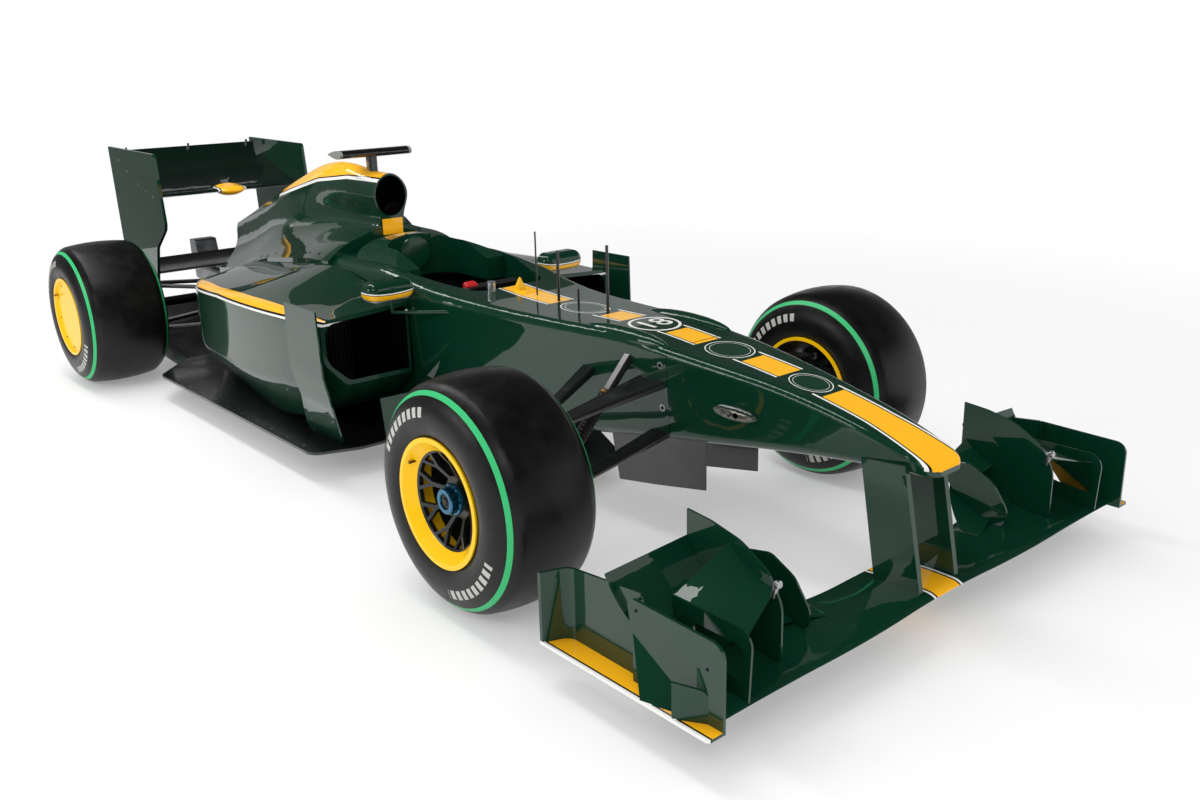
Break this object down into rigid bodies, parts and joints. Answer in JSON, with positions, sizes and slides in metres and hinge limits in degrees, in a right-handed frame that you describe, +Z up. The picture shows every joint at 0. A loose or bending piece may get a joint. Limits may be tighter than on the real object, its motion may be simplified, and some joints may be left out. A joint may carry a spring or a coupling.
{
  "type": "open wheel racing car",
  "caption": "Single seat open wheel racing car with slick tyres, a wide low front wing, a tall rear wing, an open cockpit and side pods, in deep green with yellow bands.",
  "frame": {"origin": "centre of the overall box at ground level, on the centre plane between the tyre contact points and the ends", "axes": "+Z up, the car faces -Y, its left side is +X"},
  "size_m": [1.804, 4.76, 1.0842],
  "materials": {
    "body_paint": "deep green metallic lacquer over carbon, gloss",
    "carbon": "satin woven carbon",
    "tyre_rubber": "slick black rubber with a green side ring",
    "wheel_metal": "yellow lacquer, dark spokes",
    "upright_metal": "machined, dark anodised",
    "engine_metal": "cast and machined",
    "plank_wood": "sanded laminated skid board",
    "seat_shell": "carbon shell with a thin pad",
    "headrest_skin": "green skin over foam",
    "handwheel_grip": "moulded grip rubber on a carbon plate"
  },
  "bodies": {
    "chassis": {"nose_cone": "body_paint", "survival_cell": "body_paint", "front_arms_left": "carbon", "front_arms_right": "carbon", "headrest": "headrest_skin", "seat": "seat_shell", "beam_wing": "carbon", "gearbox": "engine_metal", "engine_block": "engine_metal", "rear_arms_left": "carbon", "rear_arms_right": "carbon", "rear_upright_left": "upright_metal", "rear_upright_right": "upright_metal", "engine_cover": "body_paint", "side_pod_left": "body_paint", "side_pod_right": "body_paint", "floor": "carbon", "plank": "plank_wood", "diffuser": "carbon", "front_wing": "body_paint", "front_flaps_left": "body_paint", "front_flaps_right": "body_paint", "front_endplate_left": "body_paint", "front_endplate_right": "body_paint", "rear_wing": "body_paint", "rear_endplate_left": "body_paint", "rear_endplate_right": "body_paint", "side_vanes_left": "body_paint", "side_vanes_right": "body_paint", "nose_vanes": "carbon", "mirror_left": "body_paint", "mirror_right": "body_paint", "camera_pod": "carbon", "probes": "carbon"},
    "steering_wheel": {"handwheel": "handwheel_grip"},
    "front_left_knuckle": {"front_upright_left": "upright_metal"},
    "front_left_wheel": {"tyre_front_left": "tyre_rubber", "rim_front_left": "wheel_metal"},
    "rear_left_wheel": {"tyre_rear_left": "tyre_rubber", "rim_rear_left": "wheel_metal"},
    "front_right_knuckle": {"front_upright_right": "upright_metal"},
    "front_right_wheel": {"tyre_front_right": "tyre_rubber", "rim_front_right": "wheel_metal"},
    "rear_right_wheel": {"tyre_rear_right": "tyre_rubber", "rim_rear_right": "wheel_metal"}
  },
  "joints": [
    {"name": "steer_left", "type": "hinge", "parent": "chassis", "child": "front_left_knuckle", "pos_m": [0.64, -1.395, 0.325], "axis": [0, 0, 1], "range_deg": [-15, 15]},
    {"name": "steer_right", "type": "hinge", "parent": "chassis", "child": "front_right_knuckle", "pos_m": [-0.64, -1.395, 0.325], "axis": [0, 0, 1], "range_deg": [-15, 15]},
    {"name": "handwheel_turn", "type": "hinge", "parent": "chassis", "child": "steering_wheel", "pos_m": [0, -0.41, 0.56], "axis": [0, 0.9272, 0.3746], "range_deg": [-150, 150]},
    {"name": "roll_front_left", "type": "hinge", "parent": "front_left_knuckle", "child": "front_left_wheel", "pos_m": [0.732, -1.395, 0.325], "axis": [1, 0, 0], "continuous": true},
    {"name": "roll_front_right", "type": "hinge", "parent": "front_right_knuckle", "child": "front_right_wheel", "pos_m": [-0.732, -1.395, 0.325], "axis": [1, 0, 0], "continuous": true},
    {"name": "roll_rear_left", "type": "hinge", "parent": "chassis", "child": "rear_left_wheel", "pos_m": [0.7075, 1.705, 0.325], "axis": [1, 0, 0], "continuous": true},
    {"name": "roll_rear_right", "type": "hinge", "parent": "chassis", "child": "rear_right_wheel", "pos_m": [-0.7075, 1.705, 0.325], "axis": [1, 0, 0], "continuous": true}
  ],
  "couplings": [
    {"joint": "steer_right", "follows": "steer_left", "ratio": 1},
    {"joint": "handwheel_turn", "follows": "steer_left", "ratio": 10}
  ]
}
